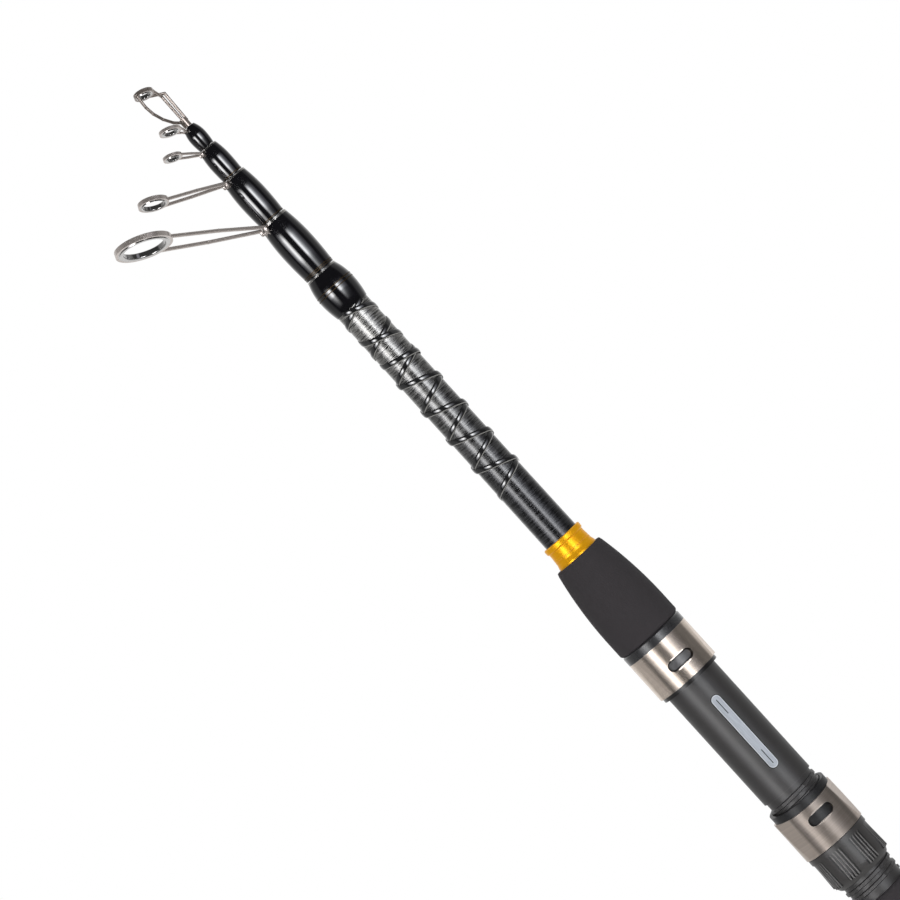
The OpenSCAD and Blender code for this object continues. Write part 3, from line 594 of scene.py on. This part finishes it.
def badge_plate():
    """Brushed plate with a painted highlight on its bevel, a painted shadow line round its rim and painted
    shade in grooves at its ends.
    """
    f = Finish("badge_plate", Metallic=0.4)
    brushed = f.mask(RINGS, Rings=300, Breaks=2600, Contrast=1.5)
    base = f.colour(brushed, ((0.2, (0.36, 0.39, 0.43)), (0.8, (0.47, 0.5, 0.55))))
    f.rough(brushed, 0.42, 0.55)
    off_centre = f.sum("SUBTRACT", f.place("Z"), BADGE_CENTRE)
    across = f.sum("ABSOLUTE", f.place("X"))
    off_middle = f.off_slot(off_centre, BADGE_HALF_SPAN, across)
    narrow = f.sum("LESS_THAN", across, BADGE_GROOVE_SHADE_HALF_WIDTH)
    groove_shade = f.sum("MULTIPLY", narrow, f.between(f.sum("ABSOLUTE", off_centre), *BADGE_GROOVE_SHADE))
    rim = f.sum("GREATER_THAN", off_middle, BADGE_RIM_SHADOW)
    # Painted highlight on the bevel
    base = f.over(base, f.sum("GREATER_THAN", off_middle, BADGE_BEVEL_HIGHLIGHT), (0.62, 0.65, 0.69))
    # Painted shadow round the rim and painted shade in the grooves
    f.over(base, f.sum("MAXIMUM", rim, groove_shade), (0.01, 0.01, 0.011))
    return f.material


# A look for each material slot, then for single nodes that differ from their slot
LOOKS = {
    "blank": sanded_blank(),
    "lacquer": lacquer(),
    "tape": edged_tape(),
    "bright_ring": turned_metal("bright_ring", (0.45, 0.44, 0.42), (0.65, 0.63, 0.6), (0.14, 0.22)),
    "gold_thread": turned_metal(
        "gold_thread", (0.03, 0.017, 0.004), (0.055, 0.033, 0.01), (0.3, 0.45), rings=5200, metallic=0.6),
    "gold_metal": turned_metal(
        "gold_anodised", (1.0, 0.43, 0.006), (1.0, 0.5, 0.012), (0.27, 0.32), rub=(1.0, 0.63, 0.13),
        metallic=0.38, depth=0.05, Specular_IOR_Level=0.12),
    "foam": foam_grip(),
    "hood_metal": turned_metal(
        "hood_polished", (0.48, 0.412, 0.356), (0.56, 0.484, 0.42), (0.22, 0.26), rings=2200,
        rub=(0.85, 0.77, 0.69), metallic=0.85, depth=0.06, cheeks=1.75),
    "black_plastic": moulded("black_plastic", (0.009, 0.009, 0.01), (0.018, 0.018, 0.019), (0.34, 0.46)),
    "seat_plastic": moulded(
        "seat_plastic", (0.024, 0.0223, 0.0223), (0.0345, 0.0322, 0.0322), (0.4, 0.49),
        rub=(0.12, 0.115, 0.115), size=2400, Specular_IOR_Level=1.0),
    "badge_metal": badge_plate(),
    "arbor": moulded("arbor_foam", (0.2, 0.18, 0.16), (0.3, 0.28, 0.25), (0.7, 0.85)),
    "rubber": moulded("butt_rubber", grey(0.014), grey(0.026), (0.6, 0.75)),
    "guide_wire": guide_metal("guide_wire", (0.53, 0.478, 0.445), (0.67, 0.605, 0.568)),
    "line_ring": polished_ring(),
}
OWN_LOOKS = {
    "moving_hood": turned_metal(
        "hood_satin", (0.265, 0.228, 0.2), (0.325, 0.28, 0.248), (0.34, 0.38), rings=2200,
        rub=(0.62, 0.55, 0.49), metallic=0.7, depth=0.06, cheeks=2.0),
    "lock_nut": ribbed_nut(),
    "fixed_hood_liner": hood_liner(),
    "front_ring": moulded(
        "ring_plastic", (0.02, 0.02, 0.022), (0.032, 0.032, 0.034), (0.24, 0.34),
        Coat_Weight=0.6, Coat_Roughness=0.2),
    "tip_top_frame": guide_metal("tip_top_wire", (0.27, 0.23, 0.205), (0.38, 0.33, 0.3)),
}


def dress(piece, look):
    piece.data.materials.clear()
    piece.data.materials.append(look)


def dress_nodes():
    for row in frame["record"]["subparts"]:
        dress(nodes[row["node"]], LOOKS[row["material_slot"]])
    for name, look in OWN_LOOKS.items():
        dress(nodes[name], look)


# New pieces
SAME_POINT = 1e-6
GRIP_CREASE, TAPE_CREASE = radians(35), radians(50)


def nothing_selected():
    if bpy.context.mode != "OBJECT":
        bpy.ops.object.mode_set(mode="OBJECT")
    bpy.ops.object.select_all(action="DESELECT")


def turned_piece(name, outline):
    """A ring drawn out loop by loop along a closed outline of (radius, height)."""
    nothing_selected()
    radius, height = outline[0]
    bpy.ops.mesh.primitive_circle_add(vertices=SIDES, radius=radius, location=(0, 0, height))
    piece = bpy.context.object
    piece.name = piece.data.name = name
    bpy.ops.object.transform_apply(location=True)
    bpy.ops.object.mode_set(mode="EDIT")
    bpy.ops.mesh.select_all(action="SELECT")
    for next_radius, next_height in outline[1:] + outline[:1]:
        bpy.ops.mesh.extrude_region_move(TRANSFORM_OT_translate={"value": (0, 0, next_height - height)})
        grow = next_radius / radius
        bpy.ops.transform.resize(value=(grow, grow, 1), center_override=(0, 0, next_height))
        radius, height = next_radius, next_height
    bpy.ops.mesh.select_all(action="SELECT")
    bpy.ops.mesh.remove_doubles(threshold=SAME_POINT)
    bpy.ops.mesh.normals_make_consistent(inside=False)
    bpy.ops.object.mode_set(mode="OBJECT")
    bpy.ops.object.shade_smooth_by_angle(angle=GRIP_CREASE)
    return piece


def rounded(corner_r, corner_z, radius, start, end, steps=8):
    """Points of a rounded edge about a centre, from one angle to another."""
    turns = [start + (end - start) * i / steps for i in range(steps + 1)]
    return [(corner_r + radius * cos(turn), corner_z + radius * sin(turn)) for turn in turns]


GRIP_BORE = 6.82 * MM
FOREGRIP_THIN, FOREGRIP_CREST = 9.85 * MM, 7 * MM
FOREGRIP_REAR_EDGE, FOREGRIP_FRONT_EDGE = 1.2 * MM, 0.45 * MM
SWELL_STEPS = 24
REAR_GRIP_REAR_EDGE, REAR_GRIP_FRONT_EDGE = 0.3 * MM, 1.5 * MM
REAR_GRIP_STEPS = 8


def grip(name, outline):
    """A foam grip that stands for the node of its name."""
    piece = turned_piece(name, outline)
    dress(piece, LOOKS["foam"])
    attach(piece, "handle")
    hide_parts(name)
    piece.name = name + "_foam"


def foregrip():
    """Foam that swells from the collar to a thick end with a rounded edge."""
    low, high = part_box("foregrip")
    thick, thin, crest = high.x, FOREGRIP_THIN, low.z + FOREGRIP_CREST
    length, fall = high.z - crest, thick - thin
    sweep = (length ** 2 + fall ** 2) / (2 * fall)
    runs = [length * i / SWELL_STEPS for i in range(SWELL_STEPS)]
    swell = [(thick - sweep + sqrt(sweep ** 2 - run ** 2), crest + run) for run in runs]
    small, edge = FOREGRIP_FRONT_EDGE, FOREGRIP_REAR_EDGE
    front = rounded(thin - small, high.z - small, small, 0, pi / 2, 5)
    rear = rounded(thick - edge, low.z + edge, edge, -pi / 2, 0)
    grip("foregrip", [(GRIP_BORE, low.z)] + rear + swell + front + [(GRIP_BORE, high.z)])


def rear_grip():
    """Straight foam grip, rounded towards the reel seat."""
    low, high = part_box("rear_grip")
    small, edge = REAR_GRIP_REAR_EDGE, REAR_GRIP_FRONT_EDGE
    rear = rounded(high.x - small, low.z + small, small, -pi / 2, 0, 4)
    length = high.z - low.z - edge
    sides = [(high.x, low.z + length * i / REAR_GRIP_STEPS) for i in range(1, REAR_GRIP_STEPS)]
    front = rounded(high.x - edge, high.z - edge, edge, 0, pi / 2)
    grip("rear_grip", [(GRIP_BORE, low.z)] + rear + sides + front + [(GRIP_BORE, high.z)])


# Cross wrap: two tapes wound opposite ways, the left-hand one lifted where it crosses the other
TAPE_WIDTH, TAPE_THICK, TAPE_SKIN = 2.0 * MM, 0.3 * MM, 0.12 * MM
TAPE_PITCH, TAPE_TURNS, TAPE_LEAD = 13.2 * MM, 6.3, 0.11
TAPE_SLIP, SLIP_FROM, SLIP_TURNS = 6.5 * MM, 1, 2
TAPE_FACE = radians(260.5)
TAPE_TOP = 388.6 * MM
TAPE_CLEAR, CROSSING_CLEAR = 0.09 * MM, 0.1 * MM
CROSSING_REACH, CROSSING_RISE = 100, 60
TAPE_CROWN = 0.55
FACES_A_TURN, FACES_ACROSS = 64, 8
BLANK_LOW, BLANK_HIGH = (281.7 * MM, 6.8 * MM), (390.2 * MM, 6.5 * MM)


def eased(t):
    t = min(max(t, 0.0), 1.0)
    return t * t * (3 - 2 * t)


def blank_radius(z):
    share = (z - BLANK_LOW[0]) / (BLANK_HIGH[0] - BLANK_LOW[0])
    return BLANK_LOW[1] + (BLANK_HIGH[1] - BLANK_LOW[1]) * share


def tape_point(turns, left, aside, out):
    """A point on a tape: turns run so far, place across its width, height over the blank."""
    z = TAPE_TOP - TAPE_PITCH * turns
    lift = 0.0
    if left:
        z += TAPE_SLIP * eased((turns - SLIP_FROM) / SLIP_TURNS)
        apart = turns + (TAPE_TOP - z) / TAPE_PITCH
        apart = abs(apart - round(apart)) * 360
        lift = (TAPE_THICK + CROSSING_CLEAR) * eased((CROSSING_REACH - apart) / CROSSING_RISE)
    way = 1 if left else -1
    r = blank_radius(z) + TAPE_CLEAR + lift
    slope = TAPE_PITCH / (FULL_TURN * r)
    k = 1 / sqrt(1 + slope ** 2)
    angle = TAPE_FACE + way * (FULL_TURN * turns + aside * slope * k / r)
    return Vector(((r + out) * cos(angle), (r + out) * sin(angle), z + aside * k))


def tape(name, left):
    """A flat strip of tape, wound on the blank and given its thickness."""
    nothing_selected()
    bpy.ops.mesh.primitive_grid_add(
        x_subdivisions=int(FACES_A_TURN * TAPE_TURNS), y_subdivisions=FACES_ACROSS, size=1, calc_uvs=True)
    piece = bpy.context.object
    piece.name = piece.data.name = name + "_tape"
    for v in piece.data.vertices:
        crown = 1 - TAPE_CROWN * (2 * abs(v.co.y)) ** 3
        turns = (v.co.x + 0.5) * (TAPE_TURNS + TAPE_LEAD) - TAPE_LEAD
        v.co = tape_point(turns, left, v.co.y * TAPE_WIDTH, TAPE_THICK * crown)
    piece.data.update()
    face = piece.data.polygons[0]
    if face.normal.dot(Vector((face.center.x, face.center.y, 0))) < 0:
        bpy.ops.object.mode_set(mode="EDIT")
        bpy.ops.mesh.select_all(action="SELECT")
        bpy.ops.mesh.flip_normals()
        bpy.ops.object.mode_set(mode="OBJECT")
    body = piece.modifiers.new("thickness", "SOLIDIFY")
    body.thickness, body.offset = TAPE_SKIN, -1
    bpy.ops.object.modifier_apply(modifier="thickness")
    bpy.ops.object.shade_smooth_by_angle(angle=TAPE_CREASE)
    dress(piece, LOOKS["tape"])
    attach(piece, "handle")
    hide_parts(name)


place_camera()
studio()
pale_floor()
dress_nodes()
foregrip()
rear_grip()
tape("cross_wrap_right", False)
tape("cross_wrap_left", True)
